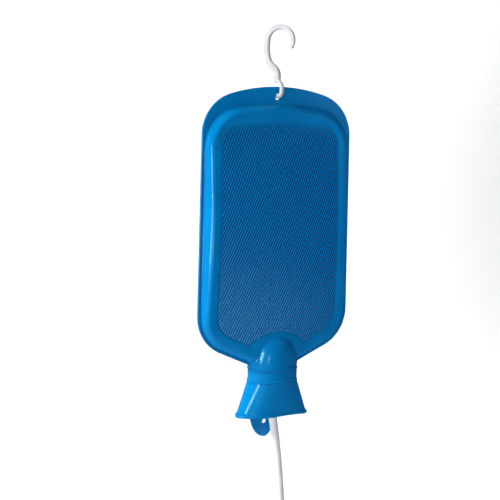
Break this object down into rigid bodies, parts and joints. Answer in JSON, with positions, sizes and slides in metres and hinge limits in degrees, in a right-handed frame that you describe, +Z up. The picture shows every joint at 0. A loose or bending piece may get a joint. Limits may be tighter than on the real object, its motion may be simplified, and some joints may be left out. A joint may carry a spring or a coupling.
{
  "type": "irrigation bag",
  "caption": "Hot-water-bottle style rubber irrigation bag hung neck down from a plastic S-hook, with a screw-in hose adapter, a hose tied in a hank, a tap and a slim nozzle",
  "frame": {"origin": "where a peg meets the inside of the hook's upper bend, over the middle of the bag", "axes": "+Z up along the hanging bag, +X to the right across its width, -Y out of its front face"},
  "size_m": [0.1762, 0.0535, 0.7882],
  "materials": {
    "blue_rubber": "satin",
    "white_plastic": "gloss",
    "bush_plastic": "satin",
    "white_hose": "satin",
    "washer_rubber": "matte",
    "tie_strap": "matte",
    "tap_blue": "gloss"
  },
  "bodies": {
    "hook": {"s_hook": "white_plastic"},
    "bag": {"front_panel": "blue_rubber", "back_panel": "blue_rubber", "funnel": "blue_rubber", "neck_bush": "bush_plastic"},
    "washer": {"stopper_washer": "washer_rubber"},
    "adapter": {"hose_adapter": "white_plastic", "hose_cuff": "white_hose", "hose_drop": "white_hose", "hose_hank": "white_hose", "hank_tie": "tie_strap", "hose_end_cuff": "white_hose", "tap_body": "white_plastic"},
    "plug": {"tap_plug": "tap_blue"},
    "nozzle": {"nozzle": "white_plastic"}
  },
  "joints": [
    {"name": "bag_swing", "type": "hinge", "parent": "hook", "child": "bag", "pos_m": [-0.0019, 0, -0.0675], "axis": [0, 1, 0], "range_deg": [-20, 20]},
    {"name": "adapter_travel", "type": "slide", "parent": "bag", "child": "washer", "axis": [0, 0, -1], "range_m": [0, 0.012]},
    {"name": "adapter_turn", "type": "hinge", "parent": "washer", "child": "adapter", "pos_m": [0, 0, -0.36], "axis": [0, 0, -1], "range_deg": [0, 1080]},
    {"name": "tap_turn", "type": "hinge", "parent": "adapter", "child": "plug", "pos_m": [0.0205, 0.0179, -0.6929], "axis": [0, 1, 0], "range_deg": [0, 90]},
    {"name": "nozzle_pull", "type": "slide", "parent": "adapter", "child": "nozzle", "axis": [0, 0, -1], "range_m": [0, 0.014]}
  ],
  "couplings": [
    {"joint": "adapter_travel", "follows": "adapter_turn", "m_per_rad": 0.00063662}
  ]
}
